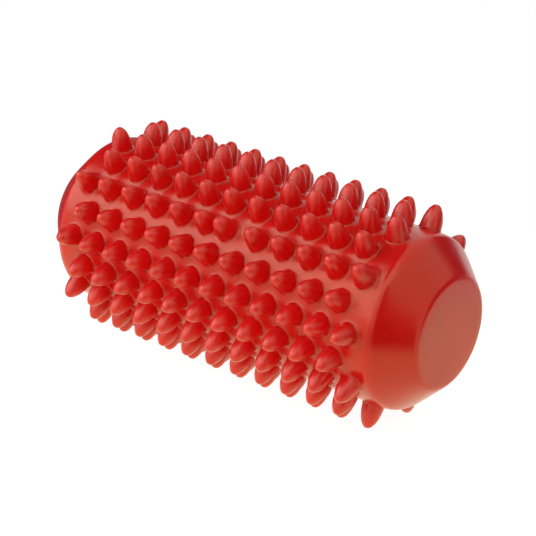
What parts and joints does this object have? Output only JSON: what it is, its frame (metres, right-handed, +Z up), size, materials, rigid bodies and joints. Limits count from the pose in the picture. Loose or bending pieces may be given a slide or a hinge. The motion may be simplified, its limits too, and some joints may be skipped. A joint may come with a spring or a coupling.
{
  "type": "massage roller",
  "caption": "Hollow soft vinyl hand roller with staggered rows of rounded spikes, bevelled ends with flat faces, and a pull-out air stopper in one end.",
  "frame": {"origin": "the point of the floor under the roller's middle, as it lies on two rows of spikes", "axes": "+X along the roller's axis towards its plain end, -X towards the end with the valve, +Z up, +Y to the back as the picture sees it"},
  "size_m": [0.144, 0.0694, 0.0695],
  "materials": {
    "red_vinyl": "satin soft vinyl, saturated red, lightly glossy on the spikes",
    "firm_vinyl": "matte firm vinyl, darker red",
    "white_plastic": "smooth off-white moulded plastic"
  },
  "bodies": {
    "roller": {"roller_shell": "red_vinyl", "valve_seat": "firm_vinyl"},
    "plug": {"valve_plug": "white_plastic"}
  },
  "joints": [
    {"name": "plug_pull", "type": "slide", "parent": "roller", "child": "plug", "axis": [-1, 0, 0], "range_m": [0, 0.014]}
  ]
}
